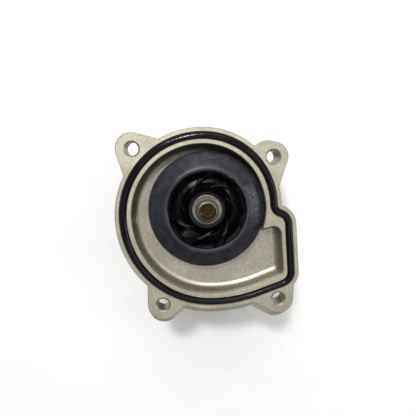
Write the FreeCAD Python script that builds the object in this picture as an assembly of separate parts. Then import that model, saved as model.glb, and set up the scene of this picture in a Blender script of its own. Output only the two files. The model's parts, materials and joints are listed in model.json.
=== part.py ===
import FreeCAD, Part
import math
import os

V = FreeCAD.Vector

# Engine coolant pump. Millimetres. The shaft axis is Z and the flange's sealing face is z = 0,
# with the impeller towards +Z, the pulley towards -Z and the outlet lobe at +X, -Y.

# --- Housing outline: arcs that share their centres at every inset from the edge ---
ARC_RIGHT = (V(-2.0, 1.4, 0), 42.6)       # upper right quadrant: centre, radius at the outer edge
ARC_LEFT = (V(-2.0, -3.2, 0), 47.2)       # upper left quadrant
ARC_LOW = (V(2.8, -3.2, 0), 52.0)         # lower left quadrant
ARC_LOBE = (V(2.8, 23.2, 0), 78.4)        # shallow arc along the bottom, towards the lobe
ARC_CORNER = (V(39.6, -34.8, 0), 11.2)    # lower right corner of the lobe
ARC_SHOULDER = (V(38.0, -8.4, 0), 10.9)   # upper right corner of the lobe
KINK_RADIUS = 1.0                         # hollow corner between the round body and the lobe
SEAL_INSET = 4.25
MOUTH_INSET = 8.65                        # from the outer edge to the volute's mouth

FLANGE_THICK = 12.0
EDGE_CHAMFER = 0.35

# --- Ears: hole centre, ear radius, hole radius, thickness, and the two points where the ear's sides
# --- meet the body, anticlockwise. The order is upper left, upper right, lower left, lower right ---
EARS = [
    (V(-39.5, 32.4, 0), 8.8, 3.5, 12.0, V(-25.5, 37.7, 0), V(-44.0, 18.2, 0)),
    (V(35.6, 28.3, 0), 8.2, 3.5, 18.0, V(38.9, 12.2, 0), V(24.0, 34.2, 0)),
    (V(-24.0, -52.3, 0), 8.3, 3.3, 12.0, V(-32.3, -40.3, 0), V(-12.2, -52.8, 0)),
    (V(39.7, -49.7, 0), 8.3, 3.3, 12.0, V(25.0, -51.2, 0), V(48.2, -41.8, 0)),
]
EAR_CHAMFER = 0.9
EAR_FILLET = 2.0
BOSS_FLARE = 1.4                          # a thick ear's boss widens by this much towards its back
SKIRT_OUT = 5.2                           # the lower edge flares by this much over SKIRT_DEPTH
SKIRT_DEPTH = 10.0

# --- Volute ---
VOLUTE_DEPTH = 11.2
VOLUTE_FILLET = 4.0
RUNNING_BORE_R = 32.1                     # wall beside the impeller, up to the cutwater
MOUTH_ARC_RIGHT = (V(-2.0, 2.0, 0), 33.35)   # from the running bore to the top
MOUTH_CORNER = (V(37.8, -33.1, 0), 4.5)
THROAT_CORNER = (V(36.4, -13.5, 0), 4.3)
CUTWATER_ANGLE = -17.1
CUTWATER_R = 0.8

# --- Back of the housing ---
BOWL_BACK_Z = -15.5
BOWL_INSET = 5.0
BOSS_R = 20.0
COLLAR_OUT = 7.0                          # the bearing boss widens by this much where it meets the bowl
COLLAR_DROP = 8.0
RIB_WIDTH = 4.0
EAR_RIB_LOW_Z = -36.0                     # how far down the boss a rib starts
BODY_RIB_LOW_Z = -30.0
BODY_RIBS = ((90, 38.0), (180, 42.0), (-10, 42.0))     # angle, outer radius
SPOT_FACE_OUT = 2.6                       # a screw head's seat is this much wider than its hole

# --- Seal cord in the flange ---
GROOVE_HALF = 1.85
GROOVE_DEPTH = 3.0
CORD_HALF = 1.65
CORD_PROUD = 0.9
CORD_ROUND = 1.5

# --- Impeller ---
IMPELLER_R = 31.6
EYE_R = 20.5
HUB_R = 10.0
INSERT_R = 8.25
VANES = 7
VANE_ANGLE_AT_EYE = 36.0                  # degrees, one vane's place at the radius VANE_REF_R
VANE_REF_R = 19.4
VANE_PITCH = 1.63                         # cotangent of the vane's angle to the rim
VANE_THICK = 1.7
VANE_ROOT_R = 12.5
PLATE_TOP_Z = -7.8
PLATE_BACK_Z = -9.4
SHROUD_UNDER = ((EYE_R + 0.3, 0.9), (IMPELLER_R, -4.9))    # radius and z under the shroud

# --- Shaft and bearing ---
NOSE_R = 6.2
SHAFT_R = 8.0
SHAFT_TOP_Z = 7.4
SHAFT_STEP_Z = -25.0
SHAFT_END_Z = -62.0
BEARING_R = 15.0
BEARING_BORE_R = 12.0
BEARING_TOP_Z = -25.5
BEARING_END_Z = -47.5
BALL_R = 2.7
BALL_CLEARANCE = 0.05
BALL_PITCH_R = 10.05
BALLS = 8
BALL_ROWS = {"front": -31.0, "rear": -42.0}
CAGE_HALF = 1.1
CAGE_REACH = 3.4
POCKET_CLEARANCE = 0.2
BEARING_SEAL_THICK = 0.9
BEARING_SEAL_INSET = 0.7

# --- Face seal and weep chamber ---
CUP_R = 14.0
CUP_FLANGE_R = 16.0
CUP_TOP_Z = -11.5
CUP_END_Z = -22.0
CUP_WALL = 0.8
BELLOWS_BORE_R = 8.6
BELLOWS_R = 10.6
BELLOWS_LIP_R = 12.6
BELLOWS_LIP_Z = -15.0
RUBBER_THICK = 0.8
DISC_SPRINGS = 4
DISC_RISE = 1.17
DISC_THICK = 0.6
CARBON_BORE_R = 7.2
CARBON_R = 9.6
CARBON_END_Z = -17.2
CARBON_TOP_Z = -14.2
SEAT_BORE_R = 7.4
SEAT_R = 10.2
SEAT_END_Z = -14.15
SEAT_TOP_Z = -11.4
BOOT_R = 9.8
BOOT_END_Z = -13.8
BOOT_TOP_Z = -10.8                        # the impeller's metal insert stands on the boot
SLINGER_R = 10.0
SLINGER_TOP_Z = -23.3
SLINGER_THICK = 1.0
CHAMBER_R = 11.5
WEEP_Z = -23.8
WEEP_R = 1.6
WEEP_SEAT = 17.0                          # the plug's inner and outer ends, from the shaft axis
WEEP_FACE = 25.0
WEEP_BOSS_R = 5.0
WEEP_PLUG_R = 3.5
WEEP_CAP_R = 4.8
WEEP_CAP_THICK = 1.4
DRIP_R = 0.8

# --- Pulley end ---
PULLEY_HUB_R = 13.5
HUB_TOP_Z = -50.0
HUB_FLANGE_R = 24.0
HUB_FLANGE_Z = -58.0
WEB_Z = -62.0
WEB_THICK = 2.5
RIM_R = 39.0
RIM_TOP_Z = -44.5
RIM_END_Z = -69.0
RIM_BORE_R = 33.5
BELT_GROOVES = 6
BELT_PITCH = 3.56
BELT_DEPTH = 2.6
WEB_BORE_R = 9.0
LIGHTENING_HOLES = 6
LIGHTENING_R = 3.4
LIGHTENING_CIRCLE_R = 28.3
BOLTS = 3
BOLT_CIRCLE_R = 17.0
BOLT_FIRST = 90.0                         # angle of the first screw
BOLT_R = 3.0
BOLT_FLANGE_R = 6.2
BOLT_HEAD_R = 5.5                         # over the hexagon's corners
BOLT_FLANGE_THICK = 1.0
BOLT_HEAD_TALL = 4.0


# --- Helpers ---
def polar(centre, radius, degrees):
    angle = math.radians(degrees)
    return centre + V(radius * math.cos(angle), radius * math.sin(angle), 0)


def arc(centre, radius, start, end):
    """Arc about centre from one angle to another, in degrees."""
    return Part.Arc(polar(centre, radius, start), polar(centre, radius, (start + end) / 2),
                    polar(centre, radius, end)).toShape()


def angle_of(centre, point):
    return math.degrees(math.atan2(point.y - centre.y, point.x - centre.x))


def line(a, b):
    return Part.LineSegment(a, b).toShape()


def prism(face, z_low, z_high):
    solid = face.copy()
    solid.translate(V(0, 0, z_low))
    return solid.extrude(V(0, 0, z_high - z_low))


def cylinder(radius, z_low, z_high, x=0.0, y=0.0):
    return Part.makeCylinder(radius, z_high - z_low, V(x, y, z_low))


def ring(r_in, r_out, z_low, z_high):
    return cylinder(r_out, z_low, z_high).cut(cylinder(r_in, z_low - 1, z_high + 1))


def weep_bar(radius, near, far):
    """Cylinder at the weep hole's height, towards -Y, between two distances from the shaft axis."""
    return Part.makeCylinder(radius, far - near, V(0, -near, WEEP_Z), V(0, -1, 0))


def revolve(points):
    """Solid of revolution about Z from (radius, z) points."""
    corners = [V(r, 0, z) for r, z in points]
    return Part.Face(Part.makePolygon(corners + [corners[0]])).revolve(V(0, 0, 0), V(0, 0, 1), 360)


def turned_copies(solid, count, first=0.0):
    """Copies of a solid spread evenly about Z."""
    copies = []
    for index in range(count):
        piece = solid.copy()
        piece.rotate(V(0, 0, 0), V(0, 0, 1), first + 360.0 * index / count)
        copies.append(piece)
    return copies


def joined(solids):
    body = solids[0].multiFuse(solids[1:]) if len(solids) > 1 else solids[0]
    return body.removeSplitter()


def circle_meeting(centre_a, reach_a, centre_b, reach_b):
    """The point at the given distances from two centres, on the left of the way from a to b."""
    gap = centre_b - centre_a
    along = (reach_a ** 2 - reach_b ** 2 + gap.Length ** 2) / (2 * gap.Length)
    aside = math.sqrt(reach_a ** 2 - along ** 2)
    unit = V(gap).normalize()
    return centre_a + unit * along + V(-unit.y, unit.x, 0) * aside


def tangent_points(centre_a, radius_a, centre_b, radius_b):
    """Outer tangent from circle a to circle b, on the right of the way from a to b."""
    gap = centre_b - centre_a
    turn = math.degrees(math.asin((radius_a - radius_b) / gap.Length))
    side = math.degrees(math.atan2(gap.y, gap.x)) - 90 + turn
    return polar(centre_a, radius_a, side), polar(centre_b, radius_b, side)


# --- Flange outlines ---
def lobe_edges(inset):
    """Edges from the bottom of the round body to the lobe's upper corner, anticlockwise."""
    low_c, low_r = ARC_LOBE
    corner_c, corner_r = ARC_CORNER
    shoulder_c, shoulder_r = ARC_SHOULDER
    low_r, corner_r, shoulder_r = low_r - inset, corner_r - inset, shoulder_r - inset
    a, b = tangent_points(low_c, low_r, corner_c, corner_r)
    c, d = tangent_points(corner_c, corner_r, shoulder_c, shoulder_r)
    edges = [arc(low_c, low_r, -90, angle_of(low_c, a)), line(a, b),
             arc(corner_c, corner_r, angle_of(corner_c, b), angle_of(corner_c, c)), line(c, d)]
    return edges, d


def spiral_edges(inset):
    """Edges from the top of the body round its left side to the bottom, anticlockwise."""
    left_c, left_r = ARC_LEFT
    low_c, low_r = ARC_LOW
    return [arc(left_c, left_r - inset, 90, 180), arc(low_c, low_r - inset, 180, 270)]


def flange_face(inset):
    """The whole flange outline, drawn in from the outer edge by inset."""
    right_c, right_r = ARC_RIGHT
    shoulder_c, shoulder_r = ARC_SHOULDER
    kink_c = circle_meeting(right_c, right_r + KINK_RADIUS, shoulder_c, shoulder_r + KINK_RADIUS)
    right_r, shoulder_r = right_r - inset, shoulder_r - inset
    lobe, start = lobe_edges(inset)
    kink_in = polar(shoulder_c, shoulder_r, angle_of(shoulder_c, kink_c))
    kink_out = polar(right_c, right_r, angle_of(right_c, kink_c))
    kink_r = KINK_RADIUS + inset
    enter = angle_of(kink_c, kink_in)
    leave = angle_of(kink_c, kink_out)
    if leave > enter:
        leave -= 360
    edges = spiral_edges(inset) + lobe
    edges.append(arc(shoulder_c, shoulder_r, angle_of(shoulder_c, start), angle_of(shoulder_c, kink_in)))
    edges.append(arc(kink_c, kink_r, enter, leave))
    edges.append(arc(right_c, right_r, angle_of(right_c, kink_out), 90))
    return Part.Face(Part.Wire(Part.sortEdges(edges)[0]))


def band(inset, half):
    """A strip of the given half width that follows the flange."""
    return flange_face(inset - half).cut(flange_face(inset + half))


# --- Housing ---
def mouth_face():
    """Opening of the volute in the flange, with the cutwater standing into it."""
    low_c, low_r = ARC_LOBE[0], ARC_LOBE[1] - MOUTH_INSET
    corner_c, corner_r = MOUTH_CORNER
    throat_c, throat_r = THROAT_CORNER
    right_c, right_r = MOUTH_ARC_RIGHT
    axis = V(0, 0, 0)
    a, b = tangent_points(low_c, low_r, corner_c, corner_r)
    c, d = tangent_points(corner_c, corner_r, throat_c, throat_r)
    tip_c = polar(axis, RUNNING_BORE_R + CUTWATER_R, CUTWATER_ANGLE)
    gap = tip_c - throat_c
    opening = math.degrees(math.acos((throat_r + CUTWATER_R) / gap.Length))
    cross = math.degrees(math.atan2(gap.y, gap.x)) - opening
    meet = circle_meeting(right_c, right_r, axis, RUNNING_BORE_R)
    edges = spiral_edges(MOUTH_INSET)
    edges += [arc(low_c, low_r, -90, angle_of(low_c, a)), line(a, b),
              arc(corner_c, corner_r, angle_of(corner_c, b), angle_of(corner_c, c)), line(c, d),
              arc(throat_c, throat_r, angle_of(throat_c, d), cross),
              line(polar(throat_c, throat_r, cross), polar(tip_c, CUTWATER_R, cross + 180)),
              arc(tip_c, CUTWATER_R, cross + 180, CUTWATER_ANGLE + 180),
              arc(axis, RUNNING_BORE_R, CUTWATER_ANGLE, angle_of(axis, meet)),
              arc(right_c, right_r, angle_of(right_c, meet), 90)]
    return Part.Face(Part.Wire(Part.sortEdges(edges)[0]))


def ear_face(centre, radius, root_a, root_b):
    _, enter = tangent_points(root_a, 0, centre, radius)
    leave, _ = tangent_points(centre, radius, root_b, 0)
    start = angle_of(centre, enter)
    end = angle_of(centre, leave)
    if end < start:
        end += 360
    edges = [line(root_a, enter), arc(centre, radius, start, end), line(leave, root_b), line(root_b, root_a)]
    return Part.Face(Part.Wire(edges))


def edges_low(solid, z):
    """Edges that lie wholly at height z."""
    return [e for e in solid.Edges if abs(e.BoundBox.ZMin - z) < 1e-4 and abs(e.BoundBox.ZMax - z) < 1e-4]


def flange_plate():
    """Flange with its four ears, the flared lower edge and rounded roots beside the ears."""
    faces = [flange_face(0)]
    for centre, radius, _, _, root_a, root_b in EARS:
        faces.append(ear_face(centre, radius, root_a, root_b))
    plate = joined([prism(face, -FLANGE_THICK, 0) for face in faces])
    roots = []
    for edge in plate.Edges:
        box = edge.BoundBox
        middle = V(box.XMin, box.YMin, 0)
        upright = box.XLength < 1e-4 and box.YLength < 1e-4
        if upright and any((middle - V(p)).Length < 2.5 for ear in EARS for p in ear[4:]):
            roots.append(edge)
    plate = plate.makeFillet(EAR_FILLET, roots)
    plate = plate.makeChamfer(EDGE_CHAMFER, edges_low(plate, 0))
    flared = joined([face.extrude(V(0, -SKIRT_OUT, -SKIRT_DEPTH)) for face in faces])
    flared.translate(V(0, 0, -EDGE_CHAMFER))
    left_x = EARS[2][0].x - EARS[2][1]
    window = Part.makeBox(49.0 - left_x, 40, SKIRT_DEPTH, V(left_x, -73, -SKIRT_DEPTH - EDGE_CHAMFER))
    flared = flared.common(window)
    return plate.fuse(flared).removeSplitter()


def cavity():
    """The volute's hollow, rounded along its floor."""
    hollow = prism(mouth_face(), -VOLUTE_DEPTH, 0)
    return hollow.makeFillet(VOLUTE_FILLET, edges_low(hollow, -VOLUTE_DEPTH))


def rib(degrees, reach, low_z):
    """Upright web from the bearing boss out under the flange."""
    inner = BOSS_R - 2
    corners = [V(inner, 0, BOWL_BACK_Z + 1), V(reach, 0, -FLANGE_THICK + 1), V(reach, 0, -FLANGE_THICK - 2),
               V(inner, 0, low_z), V(inner, 0, BOWL_BACK_Z + 1)]
    web = Part.Face(Part.makePolygon(corners))
    web.translate(V(0, -RIB_WIDTH / 2, 0))
    web = web.extrude(V(0, RIB_WIDTH, 0))
    web.rotate(V(0, 0, 0), V(0, 0, 1), degrees)
    return web


def housing():
    """Die casting: flange, volute bowl, bearing boss, ribs and weep boss, bored for the bearing and seal."""
    plate = flange_plate()
    bowl = prism(flange_face(BOWL_INSET), BOWL_BACK_Z, -FLANGE_THICK)
    boss = cylinder(BOSS_R, BEARING_END_Z, BOWL_BACK_Z)
    collar = revolve([(0, BOWL_BACK_Z), (BOSS_R + COLLAR_OUT, BOWL_BACK_Z),
                      (BOSS_R + 1.5, BOWL_BACK_Z - COLLAR_DROP / 2),
                      (BOSS_R, BOWL_BACK_Z - COLLAR_DROP), (0, BOWL_BACK_Z - COLLAR_DROP)])
    solids = [plate, bowl, boss, collar, weep_bar(WEEP_BOSS_R, WEEP_SEAT, WEEP_FACE)]
    for centre, radius, _, thick, _, _ in EARS:
        if thick > FLANGE_THICK:
            foot = V(centre.x, centre.y, -thick)
            solids.append(Part.makeCone(radius + BOSS_FLARE, radius, thick - 1.5, foot))
        reach = math.hypot(centre.x, centre.y) - radius + 2
        solids.append(rib(angle_of(V(0, 0, 0), centre), reach, EAR_RIB_LOW_Z))
    for degrees, reach in BODY_RIBS:
        solids.append(rib(degrees, reach, BODY_RIB_LOW_Z))
    body = joined(solids)

    cuts = [cavity(),
            cylinder(CUP_FLANGE_R, CUP_TOP_Z - CUP_WALL, -VOLUTE_DEPTH + 1),
            cylinder(CUP_R, CUP_END_Z, CUP_TOP_Z - CUP_WALL / 2),
            cylinder(CHAMBER_R, BEARING_TOP_Z, CUP_END_Z + 1),
            cylinder(BEARING_R, BEARING_END_Z - 1, BEARING_TOP_Z),
            prism(band(SEAL_INSET, GROOVE_HALF).Faces[0], -GROOVE_DEPTH, 1),
            weep_bar(WEEP_R, CHAMBER_R - 1, WEEP_SEAT + 1),
            weep_bar(WEEP_PLUG_R, WEEP_SEAT, WEEP_FACE + 1)]
    for centre, _, hole, thick, _, _ in EARS:
        cuts.append(cylinder(hole, -thick - 1, 1, centre.x, centre.y))
        cuts.append(Part.makeCone(hole, hole + EAR_CHAMFER + 0.1, EAR_CHAMFER + 0.1,
                                  V(centre.x, centre.y, -EAR_CHAMFER)))
        cuts.append(cylinder(hole + SPOT_FACE_OUT, -thick - FLANGE_THICK, -thick, centre.x, centre.y))
    for tool in cuts:
        body = body.cut(tool)
    land = flange_face(1.0)
    inner = [e for e in edges_low(body, 0) if land.isInside(e.valueAt(e.FirstParameter), 0.01, True)]
    return body.makeChamfer(EDGE_CHAMFER, inner)


def flange_seal():
    """Rubber cord lying in the groove, its top rounded and proud of the flange."""
    cord = prism(band(SEAL_INSET, CORD_HALF).Faces[0], -GROOVE_DEPTH + 0.05, CORD_PROUD)
    return cord.makeFillet(CORD_ROUND, edges_low(cord, CORD_PROUD))


def weep_cap():
    stem = weep_bar(WEEP_PLUG_R, WEEP_SEAT, WEEP_FACE)
    head = weep_bar(WEEP_CAP_R, WEEP_FACE, WEEP_FACE + WEEP_CAP_THICK)
    drip = weep_bar(DRIP_R, WEEP_SEAT - 1, WEEP_FACE + WEEP_CAP_THICK + 1)
    return stem.fuse(head).removeSplitter().cut(drip)


# --- Impeller ---
def vane_point(radius, sideways):
    """A point on one vane's spiral, moved sideways across the vane."""
    turn = math.radians(VANE_ANGLE_AT_EYE) - VANE_PITCH * math.log(radius / VANE_REF_R)
    across = turn + math.pi / 2 - math.atan2(1, -VANE_PITCH)
    centre = V(radius * math.cos(turn), radius * math.sin(turn), 0)
    return centre + V(-math.sin(across), math.cos(across), 0) * sideways


def vane():
    """One vane, thin at its leading edge, before it is trimmed to the space between plate and shroud."""
    radii = [VANE_ROOT_R + (IMPELLER_R - 0.2 - VANE_ROOT_R) * k / 6 for k in range(7)]
    half = VANE_THICK / 2
    taper = [0.35, 0.8, 1.0, 1.0, 1.0, 0.9, 0.7]
    left = [vane_point(r, half * t) for r, t in zip(radii, taper)]
    right = [vane_point(r, -half * t) for r, t in zip(radii, taper)]
    inside = Part.BSplineCurve()
    inside.interpolate(left)
    outside = Part.BSplineCurve()
    outside.interpolate(right)
    nose = Part.Arc(left[0], vane_point(radii[0] - 0.4, 0), right[0]).toShape()
    wire = Part.Wire([inside.toShape(), line(left[-1], right[-1]), outside.toShape(), nose])
    return prism(Part.Face(wire), PLATE_TOP_Z - 0.5, 2.0)


def impeller_rotor():
    """Back plate, hub and the backward curved vanes, moulded as one piece."""
    plate = revolve([(INSERT_R, PLATE_BACK_Z), (IMPELLER_R - 1.0, PLATE_BACK_Z),
                     (IMPELLER_R, PLATE_BACK_Z + 1.0), (IMPELLER_R, PLATE_TOP_Z),
                     (20.0, PLATE_TOP_Z), (14.5, -6.6), (11.6, -4.6), (10.5, -2.0), (HUB_R, -0.8),
                     (HUB_R, -0.1), (HUB_R - 0.3, 0.2), (INSERT_R, 0.2)])
    space = revolve([(10.2, PLATE_TOP_Z - 0.5), (10.2, -4.4), (13.2, -4.0), (17.0, -2.9),
                     SHROUD_UNDER[0], SHROUD_UNDER[1], (IMPELLER_R, PLATE_TOP_Z - 0.5)])
    blades = [blade.common(space) for blade in turned_copies(vane(), VANES)]
    return joined([plate] + blades)


def impeller_shroud():
    """Cone over the vanes with a rolled lip round the eye."""
    (r_in, z_in), (r_out, z_out) = SHROUD_UNDER
    return revolve([(r_out, z_out), (r_out, z_out + 1.3), (r_out - 0.4, z_out + 1.7), (24.6, 1.8),
                    (23.4, 2.6), (22.4, 3.0), (21.5, 2.95), (20.8, 2.5), (EYE_R, 1.8), (EYE_R, 1.1),
                    (r_in, z_in)])


def impeller_insert():
    return revolve([(NOSE_R, BOOT_TOP_Z), (INSERT_R, BOOT_TOP_Z), (INSERT_R, 0.2), (INSERT_R - 0.1, 0.55),
                    (INSERT_R - 0.5, 0.75), (NOSE_R + 0.25, 0.75), (NOSE_R, 0.6)])


# --- Shaft and bearing ---
def race_groove(z):
    return Part.makeTorus(BALL_PITCH_R, BALL_R + BALL_CLEARANCE, V(0, 0, z))


def pump_shaft():
    shaft = revolve([(0, SHAFT_TOP_Z), (NOSE_R - 1.4, SHAFT_TOP_Z), (NOSE_R, SHAFT_TOP_Z - 3.2),
                     (NOSE_R, SHAFT_STEP_Z), (SHAFT_R - 0.3, SHAFT_STEP_Z), (SHAFT_R, SHAFT_STEP_Z - 0.3),
                     (SHAFT_R, SHAFT_END_Z + 0.8), (SHAFT_R - 0.8, SHAFT_END_Z), (0, SHAFT_END_Z)])
    for z in BALL_ROWS.values():
        shaft = shaft.cut(race_groove(z))
    return shaft


def bearing_outer_ring():
    outer = ring(BEARING_BORE_R, BEARING_R, BEARING_END_Z, BEARING_TOP_Z)
    for z in BALL_ROWS.values():
        outer = outer.cut(race_groove(z))
    return outer


def balls(z):
    ball = Part.makeSphere(BALL_R, V(BALL_PITCH_R, 0, z))
    return Part.makeCompound(turned_copies(ball, BALLS))


def cage(z):
    """Ring that keeps the balls apart in radial pockets."""
    band_ring = ring(BALL_PITCH_R - CAGE_HALF, BALL_PITCH_R + CAGE_HALF, z - CAGE_REACH, z + CAGE_REACH)
    pocket = Part.makeCylinder(BALL_R + POCKET_CLEARANCE, 6, V(BALL_PITCH_R - 3, 0, z), V(1, 0, 0))
    for tool in turned_copies(pocket, BALLS):
        band_ring = band_ring.cut(tool)
    return band_ring


def bearing_seal(z_low):
    return ring(SHAFT_R + 0.2, BEARING_BORE_R, z_low, z_low + BEARING_SEAL_THICK)


# --- Face seal ---
def seal_cup():
    """Pressed cup with a flange at its top and a turned-in foot."""
    return revolve([(CUP_R - CUP_WALL, CUP_TOP_Z), (CUP_FLANGE_R, CUP_TOP_Z),
                    (CUP_FLANGE_R, CUP_TOP_Z - CUP_WALL), (CUP_R, CUP_TOP_Z - CUP_WALL), (CUP_R, CUP_END_Z),
                    (BELLOWS_BORE_R, CUP_END_Z), (BELLOWS_BORE_R, CUP_END_Z + CUP_WALL),
                    (CUP_R - CUP_WALL, CUP_END_Z + CUP_WALL)])


def seal_bellows():
    """Rubber sleeve from the cup's foot up to the carbon ring, which it holds."""
    foot = CUP_END_Z + CUP_WALL
    return revolve([(BELLOWS_BORE_R, foot), (CUP_R - CUP_WALL, foot), (CUP_R - CUP_WALL, foot + RUBBER_THICK),
                    (BELLOWS_R, foot + RUBBER_THICK), (BELLOWS_R, BELLOWS_LIP_Z - 0.7),
                    (BELLOWS_LIP_R, BELLOWS_LIP_Z - 0.7), (BELLOWS_LIP_R, BELLOWS_LIP_Z),
                    (CARBON_R, BELLOWS_LIP_Z), (CARBON_R, CARBON_END_Z), (BELLOWS_BORE_R, CARBON_END_Z)])


def seal_spring():
    """Disc springs stacked nose to tail round the bellows."""
    r_in, r_out = BELLOWS_R + 0.3, BELLOWS_LIP_R - 0.3
    low = CUP_END_Z + CUP_WALL + RUBBER_THICK
    chain = [(r_in if k % 2 == 0 else r_out, low + DISC_RISE * k) for k in range(DISC_SPRINGS + 1)]
    return revolve(chain + [(r + DISC_THICK, z) for r, z in reversed(chain)])


def seal_seat_boot():
    return revolve([(NOSE_R, BOOT_END_Z), (SEAT_BORE_R, BOOT_END_Z), (SEAT_BORE_R, SEAT_TOP_Z),
                    (BOOT_R, SEAT_TOP_Z), (BOOT_R, BOOT_TOP_Z), (NOSE_R, BOOT_TOP_Z)])


# --- Pulley end ---
def pulley_hub():
    """Steel hub pressed on the shaft, with a flange that the pulley is screwed to."""
    hub = revolve([(SHAFT_R, HUB_TOP_Z), (PULLEY_HUB_R - 0.5, HUB_TOP_Z), (PULLEY_HUB_R, HUB_TOP_Z - 0.5),
                   (PULLEY_HUB_R, HUB_FLANGE_Z + 1.5), (PULLEY_HUB_R + 1.5, HUB_FLANGE_Z),
                   (HUB_FLANGE_R, HUB_FLANGE_Z), (HUB_FLANGE_R, WEB_Z), (SHAFT_R, WEB_Z)])
    tapped = cylinder(BOLT_R, WEB_Z - 1, HUB_FLANGE_Z + 3, BOLT_CIRCLE_R)
    for tool in turned_copies(tapped, BOLTS, BOLT_FIRST):
        hub = hub.cut(tool)
    return hub


def belt_pulley():
    """Dished pulley: a ribbed rim round the bearing boss and a web bolted to the hub."""
    groove_floor_r = RIM_R - BELT_DEPTH
    first = (RIM_TOP_Z + RIM_END_Z + BELT_GROOVES * BELT_PITCH) / 2
    outer = [(RIM_R - 0.6, RIM_TOP_Z), (RIM_R, RIM_TOP_Z - 0.6)]
    for index in range(BELT_GROOVES):
        top = first - index * BELT_PITCH
        outer += [(RIM_R, top - 0.35), (groove_floor_r, top - 1.55), (groove_floor_r, top - 2.01),
                  (RIM_R, top - 3.21)]
    outer += [(RIM_R, RIM_END_Z + 0.6), (RIM_R - 0.6, RIM_END_Z)]
    inner = [(RIM_BORE_R, RIM_END_Z), (RIM_BORE_R, WEB_Z - WEB_THICK), (WEB_BORE_R, WEB_Z - WEB_THICK),
             (WEB_BORE_R, WEB_Z), (RIM_BORE_R - 2.0, WEB_Z), (RIM_BORE_R, WEB_Z + 2.0), (RIM_BORE_R, RIM_TOP_Z)]
    pulley = revolve(outer + inner)
    low, high = WEB_Z - WEB_THICK - 1, WEB_Z + 1
    tools = turned_copies(cylinder(BOLT_R + 0.3, low, high, BOLT_CIRCLE_R), BOLTS, BOLT_FIRST)
    tools += turned_copies(cylinder(LIGHTENING_R, low, high, LIGHTENING_CIRCLE_R), LIGHTENING_HOLES)
    for tool in tools:
        pulley = pulley.cut(tool)
    return pulley


def pulley_bolt():
    """Hexagon screw with a flange under its head."""
    seat = WEB_Z - WEB_THICK
    shank = cylinder(BOLT_R, seat, HUB_FLANGE_Z + 1.5, BOLT_CIRCLE_R)
    washer = cylinder(BOLT_FLANGE_R, seat - BOLT_FLANGE_THICK, seat, BOLT_CIRCLE_R)
    corners = [polar(V(BOLT_CIRCLE_R, 0, 0), BOLT_HEAD_R, 60 * k) for k in range(7)]
    head = prism(Part.Face(Part.makePolygon(corners)), seat - BOLT_HEAD_TALL, seat - BOLT_FLANGE_THICK)
    return shank.fuse(washer).fuse(head).removeSplitter()


def all_parts():
    return {
        "pump_housing": housing(),
        "flange_seal": flange_seal(),
        "weep_cap": weep_cap(),
        "impeller_rotor": impeller_rotor(),
        "impeller_shroud": impeller_shroud(),
        "impeller_insert": impeller_insert(),
        "pump_shaft": pump_shaft(),
        "bearing_outer_ring": bearing_outer_ring(),
        "front_balls": balls(BALL_ROWS["front"]),
        "rear_balls": balls(BALL_ROWS["rear"]),
        "front_cage": cage(BALL_ROWS["front"]),
        "rear_cage": cage(BALL_ROWS["rear"]),
        "front_bearing_seal": bearing_seal(BEARING_TOP_Z - BEARING_SEAL_INSET - BEARING_SEAL_THICK),
        "rear_bearing_seal": bearing_seal(BEARING_END_Z + BEARING_SEAL_INSET),
        "seal_cup": seal_cup(),
        "seal_bellows": seal_bellows(),
        "seal_spring": seal_spring(),
        "seal_carbon_ring": ring(CARBON_BORE_R, CARBON_R, CARBON_END_Z, CARBON_TOP_Z),
        "seal_seat_ring": ring(SEAT_BORE_R, SEAT_R, SEAT_END_Z, SEAT_TOP_Z),
        "seal_seat_boot": seal_seat_boot(),
        "slinger_ring": ring(NOSE_R, SLINGER_R, SLINGER_TOP_Z - SLINGER_THICK, SLINGER_TOP_Z),
        "pulley_hub": pulley_hub(),
        "belt_pulley": belt_pulley(),
        "pulley_bolts": Part.makeCompound(turned_copies(pulley_bolt(), BOLTS, BOLT_FIRST)),
    }


os.makedirs("parts", exist_ok=True)
for node, shape in all_parts().items():
    shape.exportStep(os.path.join("parts", node + ".step"))
    print(node, "valid", shape.isValid(), "solids", len(shape.Solids), "volume", round(shape.Volume, 1))
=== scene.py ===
import json
import math

import bmesh
import bpy
from mathutils import Matrix, Vector

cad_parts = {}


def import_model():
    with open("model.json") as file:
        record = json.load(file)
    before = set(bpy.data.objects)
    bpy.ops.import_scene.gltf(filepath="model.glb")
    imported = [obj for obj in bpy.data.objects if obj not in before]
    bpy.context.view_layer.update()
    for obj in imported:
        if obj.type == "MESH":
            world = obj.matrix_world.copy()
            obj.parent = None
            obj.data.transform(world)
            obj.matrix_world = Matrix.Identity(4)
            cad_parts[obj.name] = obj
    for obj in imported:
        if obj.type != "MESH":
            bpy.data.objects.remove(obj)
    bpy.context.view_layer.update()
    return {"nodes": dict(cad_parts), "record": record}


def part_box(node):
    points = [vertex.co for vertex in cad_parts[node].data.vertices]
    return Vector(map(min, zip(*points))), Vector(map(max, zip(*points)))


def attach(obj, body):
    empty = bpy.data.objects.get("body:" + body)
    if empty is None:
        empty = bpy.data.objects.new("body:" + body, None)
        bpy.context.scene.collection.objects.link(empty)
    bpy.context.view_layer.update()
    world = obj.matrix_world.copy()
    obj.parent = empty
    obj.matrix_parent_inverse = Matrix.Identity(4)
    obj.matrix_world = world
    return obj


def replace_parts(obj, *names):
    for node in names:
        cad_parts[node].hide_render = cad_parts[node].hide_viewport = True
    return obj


# Engine coolant pump, seen from above its open volute. Blender works in metres; the sizes of the pieces
# built here are in millimetres, as in the CAD.
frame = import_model()

MM = 0.001

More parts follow.
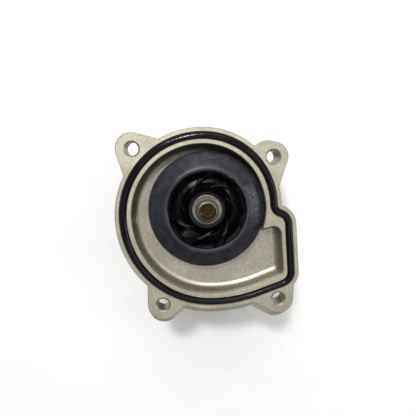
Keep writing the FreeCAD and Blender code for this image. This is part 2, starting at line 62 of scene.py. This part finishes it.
# --- Sizes shared with the CAD solids ---
NOSE_R = 6.2
SHAFT_R = 8.0
SHAFT_STEP_Z = -25.0
BALL_ROWS_Z = (-31.0, -42.0)
BALL_PITCH_R = 10.05
RACE_R = 2.75
EYE_LIP_R = 22.0
EYE_R = 20.6
RIM_R = 38.95
BOWL_BACK_Z = -15.5
SCREWS = 3
SCREW_CIRCLE_R = 17.0
SCREW_END_Z = -56.5
THREAD_PITCH = 1.0
WEB_UP = 4.5                              # from the pulley's rear rim up to the face the screws bear on
EJECTOR_PINS = ((65, 33), (115, 33), (160, 36), (205, 38), (262, 39), (290, 41), (338, 34), (15, 33))
SHARP_ANGLE = 28.0                        # degrees, edges sharper than this stay crisp

# --- Light and camera ---
CAMERA_PLACE = (-0.0108, 0.0275, 0.230)
CAMERA_AIM = (0.0006, 0.00105, 0.0)
LENS_MM = 37.379423
SKY_LEVEL = 0.20
SKY_SLOPE = (-0.10, 0.24, 0.06)           # added to the level along X, Y and Z
SKY_LEAST = 0.08
LIGHT_DISTANCE = 1.0
LIGHTS = (                                # name, azimuth, elevation, size, power, height of its aim
    ("key", 110, 62, 0.12, 5.6, -0.02),
    ("soft", 95, 44, 0.9, 4.8, -0.02),
    ("window", 25, 55, 0.35, 1.0, -0.02),
    ("low_side", 4, 18, 0.45, 2.6, 0.0),
    ("overhead", -80, 62, 0.8, 1.8, -0.02),
)


# --- Node helpers ---
class Shader:
    """A material's node tree with short calls for the nodes used here."""

    def __init__(self, name):
        self.material = bpy.data.materials.new(name)
        self.material.use_nodes = True
        self.tree = self.material.node_tree
        self.tree.nodes.clear()
        self.out = self.tree.nodes.new("ShaderNodeOutputMaterial")
        self.surface = self.tree.nodes.new("ShaderNodeBsdfPrincipled")
        self.link(self.surface.outputs["BSDF"], self.out.inputs["Surface"])
        self.place = self.node("TexCoord").outputs["Object"]

    def node(self, kind, **settings):
        item = self.tree.nodes.new("ShaderNode" + kind)
        for key, value in settings.items():
            setattr(item, key, value)
        return item

    def link(self, source, target):
        self.tree.links.new(source, target)

    def put(self, socket, value):
        if isinstance(value, bpy.types.NodeSocket):
            self.link(value, socket)
        else:
            socket.default_value = value

    def to(self, name, value):
        """Sets one input of the surface to a number, a colour or another node's output."""
        self.put(self.surface.inputs[name], value)

    def noise(self, scale, detail=3.0, rough=0.55, place=None, distortion=0.0):
        item = self.node("TexNoise")
        self.link(place or self.place, item.inputs["Vector"])
        item.inputs["Scale"].default_value = scale
        item.inputs["Detail"].default_value = detail
        item.inputs["Roughness"].default_value = rough
        item.inputs["Distortion"].default_value = distortion
        return item.outputs["Fac"]

    def cells(self, scale):
        item = self.node("TexVoronoi")
        self.link(self.place, item.inputs["Vector"])
        item.inputs["Scale"].default_value = scale
        item.inputs["Randomness"].default_value = 1.0
        return item.outputs["Distance"]

    def math(self, operation, a, b=0.0):
        item = self.node("Math", operation=operation)
        self.put(item.inputs[0], a)
        self.put(item.inputs[1], b)
        return item.outputs[0]

    def ramp(self, value, low, high, out_low=0.0, out_high=1.0):
        """Goes smoothly from out_low to out_high as value goes from low to high."""
        item = self.node("MapRange", interpolation_type="SMOOTHSTEP")
        self.put(item.inputs["Value"], value)
        item.inputs["From Min"].default_value = low
        item.inputs["From Max"].default_value = high
        item.inputs["To Min"].default_value = out_low
        item.inputs["To Max"].default_value = out_high
        return item.outputs["Result"]

    def mix(self, factor, a, b):
        """Colour a where factor is 0, colour b where it is 1."""
        item = self.node("Mix", data_type="RGBA", blend_type="MIX")
        self.put(item.inputs[0], factor)
        for socket, value in ((item.inputs[6], a), (item.inputs[7], b)):
            self.put(socket, value if isinstance(value, bpy.types.NodeSocket) else (*value, 1.0))
        return item.outputs[2]

    def tones(self, value, dark, light, low=0.3, high=0.7):
        """A colour from dark to light as value goes from low to high."""
        return self.mix(self.ramp(value, low, high), dark, light)

    def mix_value(self, factor, a, b):
        item = self.node("Mix")
        self.put(item.inputs[0], factor)
        self.put(item.inputs[2], a)
        self.put(item.inputs[3], b)
        return item.outputs[0]

    def axis(self, name):
        item = self.node("SeparateXYZ")
        self.link(self.place, item.inputs[0])
        return item.outputs[name]

    def radius(self):
        """Distance from the shaft axis."""
        x = self.axis("X")
        y = self.axis("Y")
        return self.math("SQRT", self.math("ADD", self.math("MULTIPLY", x, x), self.math("MULTIPLY", y, y)))

    def facing_up(self):
        """1 where the surface faces along the shaft, 0 on walls beside it."""
        item = self.node("SeparateXYZ")
        self.link(self.node("NewGeometry").outputs["Normal"], item.inputs[0])
        return self.math("ABSOLUTE", item.outputs["Z"])

    def outward(self):
        """Distance from the axis of a wall that faces away from it, in metres. Negative where it faces in."""
        flat = self.node("VectorMath", operation="MULTIPLY")
        self.link(self.place, flat.inputs[0])
        flat.inputs[1].default_value = (1.0, 1.0, 0.0)
        item = self.node("VectorMath", operation="DOT_PRODUCT")
        self.link(flat.outputs[0], item.inputs[0])
        self.link(self.node("NewGeometry").outputs["Normal"], item.inputs[1])
        return item.outputs["Value"]

    def lathe_finish(self, amount):
        """Stretches highlights across the lathe's rings, as on a faced end."""
        tangent = self.node("Tangent", direction_type="RADIAL", axis="Z")
        self.link(tangent.outputs[0], self.surface.inputs["Tangent"])
        self.surface.inputs["Anisotropic"].default_value = amount

    def turned(self, pitch_mm, wobble=0.0):
        """Rings cut by a lathe, as a value from 0 to 1."""
        item = self.node("TexWave", wave_type="RINGS", rings_direction="Z")
        self.link(self.place, item.inputs["Vector"])
        item.inputs["Scale"].default_value = 2 * math.pi / (20 * pitch_mm * MM)
        item.inputs["Distortion"].default_value = wobble
        item.inputs["Detail"].default_value = 2.0
        return item.outputs["Fac"]

    def bump(self, height, strength, depth_mm, under=None):
        item = self.node("Bump")
        item.inputs["Strength"].default_value = strength
        item.inputs["Distance"].default_value = depth_mm * MM
        self.put(item.inputs["Height"], height)
        if under is not None:
            self.link(under, item.inputs["Normal"])
        return item.outputs["Normal"]


def srgb(*levels):
    """Linear colour from 8 bit display levels."""
    return tuple((v / 255 / 12.92) if v <= 10 else ((v / 255 + 0.055) / 1.055) ** 2.4 for v in levels)


# --- Materials ---
def cast_aluminium():
    """Blasted casting: pale grainy faces; a smoother volute, painted a little darker as shade inside and
    darker still on its side walls; olive painted shade on the outer walls; small painted glints.
    """
    s = Shader("bead_blasted_aluminium")
    up = s.facing_up()
    depth = s.axis("Z")
    grain = s.noise(2300, 4, 0.7)
    clouds = s.noise(60, 3, 0.6)
    # inside: the volute below the face; it takes painted shade colours and a smoother finish
    inside = s.ramp(depth, -0.6 * MM, -2.5 * MM)
    coarse = s.noise(950, 3, 0.7)
    face = s.tones(clouds, srgb(176, 171, 151), srgb(196, 191, 173), 0.35, 0.65)
    # hollow and wall: painted shade, the hollow a little darker than the faces and its side walls darker
    # again
    hollow = s.tones(clouds, srgb(168, 164, 151), srgb(184, 181, 169), 0.35, 0.65)
    wall = s.tones(clouds, srgb(150, 148, 138), srgb(170, 169, 160), 0.35, 0.65)
    # skin: painted shade, a darker olive colour standing in for the shade on outer walls that face away from
    # the light
    skin = s.tones(clouds, srgb(96, 91, 64), srgb(116, 110, 82), 0.35, 0.65)
    # painted shade: side walls, which face across the axis, get the darker wall colour
    colour = s.mix(inside, face, s.mix(s.ramp(up, 0.05, 0.55), wall, hollow))
    colour = s.mix(s.ramp(grain, 0.30, 0.70, 0.0, 0.50), colour, srgb(150, 142, 122))
    colour = s.mix(s.ramp(coarse, 0.42, 0.66, 0.0, 0.55), colour, srgb(136, 128, 108))
    # painted glints: small bright spots put into the colour as sparkle of the blasted grain
    painted_glints = s.ramp(s.cells(1500), 0.10, 0.28, 0.40, 0.0)
    colour = s.mix(painted_glints, colour, srgb(240, 236, 222))
    # painted shade: walls facing outward, 18 to 46 mm from the axis, take the darker olive colour
    s.to("Base Color", s.mix(s.ramp(s.outward(), 18 * MM, 46 * MM), colour, skin))
    s.to("Metallic", 0.9)
    rough = s.ramp(grain, 0.3, 0.7, 0.44, 0.60)
    s.to("Roughness", s.math("SUBTRACT", rough, s.math("MULTIPLY", inside, 0.12)))
    fine = s.bump(grain, 0.45, 0.05)
    s.to("Normal", s.bump(s.noise(700, 3), 0.20, 0.08, fine))
    return s.material


def seal_rubber():
    """Moulded rubber with a glossy-looking skin."""
    s = Shader("glossy_black_rubber")
    skin = s.noise(900, 4, 0.6)
    s.to("Base Color", s.tones(s.noise(140, 2), (0.002, 0.002, 0.003), (0.004, 0.004, 0.006)))
    s.to("Roughness", s.ramp(skin, 0.3, 0.7, 0.10, 0.16))
    s.to("Specular IOR Level", 0.22)
    s.to("Specular Tint", (0.86, 0.84, 1.0, 1.0))
    s.to("Normal", s.bump(skin, 0.02, 0.02))
    return s.material


def impeller_plastic():
    """Filled plastic, with ripples where the melt flowed together over one side of the shroud, and painted
    shade inside the eye.
    """
    s = Shader("worn_blue_grey_plastic")
    flow = s.noise(120, 4, 0.6, distortion=1.2)
    grain = s.noise(1800, 3)
    stretch = s.node("Mapping")
    stretch.inputs["Scale"].default_value = (0.45, 1.0, 0.5)
    stretch.inputs["Rotation"].default_value = (0.0, 0.0, math.radians(38))
    s.link(s.place, stretch.inputs["Vector"])
    ripple = s.noise(620, 3, 0.6, stretch.outputs["Vector"], 0.9)
    side = s.math("ADD", s.axis("X"), s.math("MULTIPLY", s.axis("Y"), 0.55))
    patch = s.math("MULTIPLY", s.ramp(side, 9 * MM, 24 * MM), s.ramp(flow, 0.38, 0.56))
    colour = s.mix(s.ramp(flow, 0.32, 0.68), srgb(26, 27, 32), srgb(42, 44, 52))
    colour = s.mix(s.ramp(grain, 0.58, 0.75, 0.0, 0.20), colour, srgb(84, 84, 86))
    # painted shade: inside the eye the colour goes near black, and the sheen drops, standing in for the shade
    # there
    eye_painted_shade = s.ramp(s.radius(), EYE_LIP_R * MM, EYE_R * MM)
    s.to("Base Color", s.mix(eye_painted_shade, colour, srgb(6, 6, 8)))
    rough = s.ramp(flow, 0.35, 0.65, 0.30, 0.42)
    s.to("Roughness", s.math("SUBTRACT", rough, s.math("MULTIPLY", eye_painted_shade, 0.14)))
    s.to("Specular IOR Level", s.ramp(eye_painted_shade, 0.0, 1.0, 0.50, 0.24))
    wave = s.bump(s.math("MULTIPLY", ripple, patch), 0.85, 0.30)
    s.to("Normal", s.bump(grain, 0.15, 0.03, wave))
    return s.material


def black_plastic():
    """Fine grained black plastic."""
    s = Shader("black_moulded_plastic")
    grain = s.noise(2600, 3)
    s.to("Base Color", s.tones(grain, (0.012, 0.012, 0.013), (0.035, 0.034, 0.033)))
    s.to("Roughness", s.ramp(grain, 0.3, 0.7, 0.38, 0.60))
    s.to("Normal", s.bump(grain, 0.35, 0.05))
    return s.material


def turned_metal(name, dark, light, rough_low, rough_high, pitch_mm, depth_mm=0.02):
    """Lathe turned metal: fine rings, smudges and small scratches."""
    s = Shader(name)
    rings = s.turned(pitch_mm, 0.6)
    smudge = s.noise(180, 4, 0.6)
    scratch = s.noise(3500, 2)
    tone = s.math("ADD", s.math("MULTIPLY", rings, 0.35), s.math("MULTIPLY", smudge, 0.65))
    s.to("Base Color", s.mix(s.ramp(tone, 0.25, 0.75), dark, light))
    s.to("Metallic", 1.0)
    s.to("Roughness", s.ramp(s.math("ADD", smudge, s.math("MULTIPLY", scratch, 0.3)), 0.4, 0.85,
                             rough_low, rough_high))
    s.to("Normal", s.bump(rings, 0.35, depth_mm))
    s.lathe_finish(0.6)
    return s.material


def shaft_steel():
    """Ground steel, with a brown stained end that shows the rings of its facing cut."""
    s = Shader("ground_shaft_steel")
    r = s.radius()
    up = s.facing_up()
    rings = s.turned(0.55, 0.4)
    smudge = s.noise(420, 4, 0.6)
    end = s.mix(s.ramp(rings, 0.2, 0.8), srgb(30, 23, 12), srgb(66, 53, 33))
    end = s.mix(s.ramp(smudge, 0.60, 0.75), end, srgb(128, 84, 42))
    bright = s.tones(smudge, srgb(196, 193, 186), srgb(226, 224, 218))
    on_end = s.math("MULTIPLY", s.ramp(up, 0.90, 0.98), s.ramp(r, 5.0 * MM, 4.8 * MM))
    s.to("Base Color", s.mix(on_end, bright, end))
    s.to("Metallic", 1.0)
    s.to("Roughness", s.mix_value(on_end, 0.55, s.ramp(smudge, 0.3, 0.7, 0.30, 0.46)))
    s.to("Normal", s.bump(rings, 0.30, 0.05))
    s.lathe_finish(0.5)
    return s.material


def ball_steel():
    """Polished balls."""
    s = Shader("polished_ball_steel")
    smudge = s.noise(700, 3)
    s.to("Base Color", s.tones(smudge, srgb(196, 197, 200), srgb(222, 222, 224)))
    s.to("Metallic", 1.0)
    s.to("Roughness", s.ramp(smudge, 0.3, 0.7, 0.05, 0.14))
    return s.material


def cage_plastic():
    """Uncoloured polyamide, a little translucent."""
    s = Shader("natural_polyamide")
    fibre = s.noise(1300, 4, 0.6, distortion=0.8)
    s.to("Base Color", s.tones(fibre, srgb(176, 164, 126), srgb(206, 196, 160)))
    s.to("Roughness", s.ramp(fibre, 0.3, 0.7, 0.42, 0.60))
    s.to("Subsurface Weight", 0.08)
    s.to("Subsurface Scale", 0.0008)
    s.to("Normal", s.bump(fibre, 0.30, 0.04))
    return s.material


def lapped(name, dark, light, rough_low, rough_high):
    """Lapped carbon or ceramic with fine pores."""
    s = Shader(name)
    pores = s.noise(3200, 3, 0.6)
    s.to("Base Color", s.tones(pores, dark, light, 0.35, 0.65))
    s.to("Roughness", s.ramp(pores, 0.3, 0.7, rough_low, rough_high))
    s.to("Normal", s.bump(pores, 0.20, 0.02))
    return s.material


def pulley_paint():
    """Black coating, rubbed through to steel along the crests of the belt ribs."""
    s = Shader("black_coated_pulley")
    r = s.radius()
    peel = s.noise(850, 3)
    patch = s.noise(260, 4, 0.7)
    crest = s.math("MULTIPLY", s.ramp(r, (RIM_R - 0.4) * MM, RIM_R * MM), s.ramp(patch, 0.40, 0.60))
    paint = s.tones(patch, (0.016, 0.016, 0.017), (0.034, 0.033, 0.032))
    s.to("Base Color", s.mix(crest, paint, srgb(150, 146, 138)))
    s.to("Metallic", crest)
    s.to("Roughness", s.ramp(peel, 0.3, 0.7, 0.28, 0.44))
    s.to("Normal", s.bump(peel, 0.22, 0.05))
    return s.material


MATERIALS = {
    "cast_aluminium": cast_aluminium(),
    "seal_rubber": seal_rubber(),
    "black_plastic": black_plastic(),
    "impeller_plastic": impeller_plastic(),
    "bright_steel": turned_metal("bright_turned_steel", srgb(82, 78, 70), srgb(134, 130, 122),
                                 0.30, 0.44, 0.45),
    "shaft_steel": shaft_steel(),
    "bearing_steel": turned_metal("ground_bearing_steel", srgb(158, 158, 160), srgb(196, 196, 198),
                                  0.16, 0.30, 0.12),
    "ball_steel": ball_steel(),
    "cage_plastic": cage_plastic(),
    "carbon": lapped("lapped_carbon", (0.018, 0.018, 0.019), (0.050, 0.050, 0.052), 0.22, 0.40),
    "seat_ceramic": lapped("lapped_ceramic", srgb(206, 200, 186), srgb(226, 222, 210), 0.16, 0.32),
    "hub_steel": turned_metal("sintered_steel", srgb(104, 100, 94), srgb(146, 142, 134),
                              0.36, 0.56, 0.40, 0.04),
    "pulley_paint": pulley_paint(),
    "bolt_steel": turned_metal("zinc_plated_steel", srgb(168, 160, 132), srgb(206, 200, 178),
                               0.26, 0.42, 0.35),
}

slot_of = {item["node"]: item["material_slot"] for item in frame["record"]["subparts"]}
for node, obj in frame["nodes"].items():
    obj.data.materials.clear()
    obj.data.materials.append(MATERIALS[slot_of[node]])
    for face in obj.data.polygons:
        face.material_index = 0


# --- Pieces built here, finer than their CAD solids ---
def smooth_object(name, builder, slot, body):
    """Makes an object from a bmesh, smooth except at its sharp edges, and lets it ride on a body."""
    mesh = bpy.data.meshes.new(name)
    bmesh.ops.recalc_face_normals(builder, faces=builder.faces)
    builder.to_mesh(mesh)
    builder.free()
    for face in mesh.polygons:
        face.use_smooth = True
    mesh.set_sharp_from_angle(angle=math.radians(SHARP_ANGLE))
    mesh.materials.append(MATERIALS[slot])
    obj = bpy.data.objects.new(name, mesh)
    bpy.context.scene.collection.objects.link(obj)
    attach(obj, body)
    return obj


def lathe(builder, profile, segments=96, centre=(0.0, 0.0), first=0.0):
    """Turns (radius, z) points in millimetres about an axis along Z. Radius 0 closes to a point."""
    middle_x, middle_y = centre
    turns = [first + 2 * math.pi * k / segments for k in range(segments)]
    rings = []
    for r, z in profile:
        if r == 0:
            places = [(middle_x, middle_y, z)]
        else:
            places = [(middle_x + r * math.cos(t), middle_y + r * math.sin(t), z) for t in turns]
        rings.append([builder.verts.new((x * MM, y * MM, z * MM)) for x, y, z in places])
    for low, high in zip(rings, rings[1:]):
        for k in range(segments):
            n = (k + 1) % segments
            corners = [low[k % len(low)], low[n % len(low)], high[n % len(high)], high[k % len(high)]]
            unique = list(dict.fromkeys(corners))
            if len(unique) > 2:
                builder.faces.new(unique)


def lifted(profile, height):
    """The same (radius, z) points, higher by height."""
    return [(r, z + height) for r, z in profile]


def ball_race(z):
    """Points down the hollow that one row of balls runs in."""
    reach = math.acos((BALL_PITCH_R - SHAFT_R) / RACE_R)
    angles = [reach * (1 - k / 5) for k in range(11)]
    return [(BALL_PITCH_R - RACE_R * math.cos(a), z + RACE_R * math.sin(a)) for a in angles]


def shaft_detail():
    """Shaft with a faced nose, two ball races and a lathe centre in its rear end."""
    end, top = [corner.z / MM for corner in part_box("pump_shaft")]
    nose = [(0, -0.06), (0.6, -0.06), (0.8, -0.01), (1.9, -0.01), (2.0, -0.05), (2.2, -0.05),
            (2.3, -0.01), (3.2, -0.01), (3.3, 0), (4.6, 0), (4.8, -0.1), (NOSE_R - 0.1, -3.0), (NOSE_R, -3.2)]
    step = [(NOSE_R, SHAFT_STEP_Z), (SHAFT_R - 0.3, SHAFT_STEP_Z), (SHAFT_R, SHAFT_STEP_Z - 0.3)]
    races = [point for z in BALL_ROWS_Z for point in ball_race(z)]
    tail = [(SHAFT_R, 0.8), (SHAFT_R - 0.8, 0), (2.2, 0), (2.0, 0.1), (0.5, 1.6), (0, 2.0)]
    builder = bmesh.new()
    lathe(builder, lifted(nose, top) + step + races + lifted(tail, end))
    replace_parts(smooth_object("pump_shaft_turned", builder, "shaft_steel", "rotor"), "pump_shaft")


def screw(builder, x, y, seat):
    """Hexagon flange screw: its head hangs below seat and its thread reaches up through the hub."""
    flange = [(0, 0), (6.2, 0), (6.2, -0.35), (5.9, -0.6), (5.0, -1.0), (0, -1.0)]
    head = [(5.5, -0.9), (5.5, -3.45), (5.0, -3.88), (4.5, -4.0), (3.6, -4.0), (3.3, -3.65), (0, -3.65)]
    ridge = [(2.99, 0), (2.99, 0.12), (2.62, 0.5), (2.62, 0.6)]
    thread = [(0, seat), (2.75, seat)]
    for k in range(round((SCREW_END_Z - seat) / THREAD_PITCH)):
        thread += lifted(ridge, seat + 0.4 + k * THREAD_PITCH)
    thread += [(2.4, SCREW_END_Z), (0, SCREW_END_Z)]
    lathe(builder, lifted(flange, seat), 48, (x, y))
    lathe(builder, lifted(head, seat), 6, (x, y), math.radians(30))
    lathe(builder, thread, 40, (x, y))


def screws_detail():
    """The three screws that hold the pulley on its hub."""
    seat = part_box("belt_pulley")[0].z / MM + WEB_UP
    builder = bmesh.new()
    for k in range(SCREWS):
        turn = math.radians(90 + 360 * k / SCREWS)
        screw(builder, SCREW_CIRCLE_R * math.cos(turn), SCREW_CIRCLE_R * math.sin(turn), seat)
    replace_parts(smooth_object("pulley_screws_threaded", builder, "bolt_steel", "rotor"), "pulley_bolts")


def ejector_marks():
    """Raised rings that a casting die's ejector pins leave on the back of the bowl."""
    mark = [(0, 0.3), (2.5, 0.3), (2.5, -0.22), (2.3, -0.30), (2.05, -0.22), (1.95, -0.06), (0, -0.04)]
    builder = bmesh.new()
    for degrees, reach in EJECTOR_PINS:
        turn = math.radians(degrees)
        lathe(builder, lifted(mark, BOWL_BACK_Z), 32, (reach * math.cos(turn), reach * math.sin(turn)))
    smooth_object("ejector_pin_marks", builder, "cast_aluminium", "fixed_body")


shaft_detail()
screws_detail()
ejector_marks()


# --- Floor, light and camera ---
def floor():
    """Pale table that the pump's pulley stands on."""
    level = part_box("belt_pulley")[0].z
    half = 3.0
    corners = [(-half, -half, level), (half, -half, level), (half, half, level), (-half, half, level)]
    mesh = bpy.data.meshes.new("floor")
    mesh.from_pydata(corners, [], [(0, 1, 2, 3)])
    obj = bpy.data.objects.new("floor", mesh)
    bpy.context.scene.collection.objects.link(obj)
    s = Shader("pale_floor")
    s.to("Base Color", s.tones(s.noise(35, 3), (0.90, 0.90, 0.885), (0.93, 0.93, 0.915)))
    s.to("Roughness", 0.7)
    mesh.materials.append(s.material)


def from_sky(azimuth, elevation):
    """A place round the origin, from degrees anticlockwise from +X and degrees above the table."""
    a = math.radians(azimuth)
    e = math.radians(elevation)
    return LIGHT_DISTANCE * Vector((math.cos(e) * math.cos(a), math.cos(e) * math.sin(a), math.sin(e)))


def area_light(name, azimuth, elevation, size, power, aim_height):
    data = bpy.data.lights.new(name, "AREA")
    data.shape = "DISK"
    data.size = size
    data.energy = power
    obj = bpy.data.objects.new(name, data)
    bpy.context.scene.collection.objects.link(obj)
    obj.location = from_sky(azimuth, elevation)
    aim = Vector((0.0, 0.0, aim_height))
    obj.rotation_euler = (aim - obj.location).to_track_quat("-Z", "Y").to_euler()


def world():
    """Studio surround, brighter overhead, on the window's side (+Y) and towards -X."""
    scene = bpy.context.scene
    scene.world = bpy.data.worlds.new("studio")
    scene.world.use_nodes = True
    tree = scene.world.node_tree
    back = tree.nodes["Background"]
    back.inputs["Color"].default_value = (0.98, 0.985, 1.0, 1.0)
    direction = tree.nodes.new("ShaderNodeTexCoord").outputs["Generated"]
    slope = tree.nodes.new("ShaderNodeVectorMath")
    slope.operation = "DOT_PRODUCT"
    slope.inputs[1].default_value = SKY_SLOPE
    tree.links.new(direction, slope.inputs[0])
    level = slope.outputs["Value"]
    for operation, amount in (("ADD", SKY_LEVEL), ("MAXIMUM", SKY_LEAST)):
        item = tree.nodes.new("ShaderNodeMath")
        item.operation = operation
        item.inputs[1].default_value = amount
        tree.links.new(level, item.inputs[0])
        level = item.outputs[0]
    tree.links.new(level, back.inputs["Strength"])
    scene.view_settings.view_transform = "Standard"


def camera():
    """Camera over the volute, upright in Y."""
    data = bpy.data.cameras.new("camera")
    data.sensor_width = 36.0
    data.lens = LENS_MM
    data.clip_start = 0.005
    data.clip_end = 20.0
    obj = bpy.data.objects.new("camera", data)
    bpy.context.scene.collection.objects.link(obj)
    place = Vector(CAMERA_PLACE)
    forward = (Vector(CAMERA_AIM) - place).normalized()
    right = forward.cross(Vector((0, 1, 0))).normalized()
    up = right.cross(forward)
    turn = Matrix((right, up, -forward)).transposed()
    obj.matrix_world = Matrix.Translation(place) @ turn.to_4x4()
    bpy.context.scene.camera = obj


floor()
world()
camera()
for light in LIGHTS:
    area_light(*light)
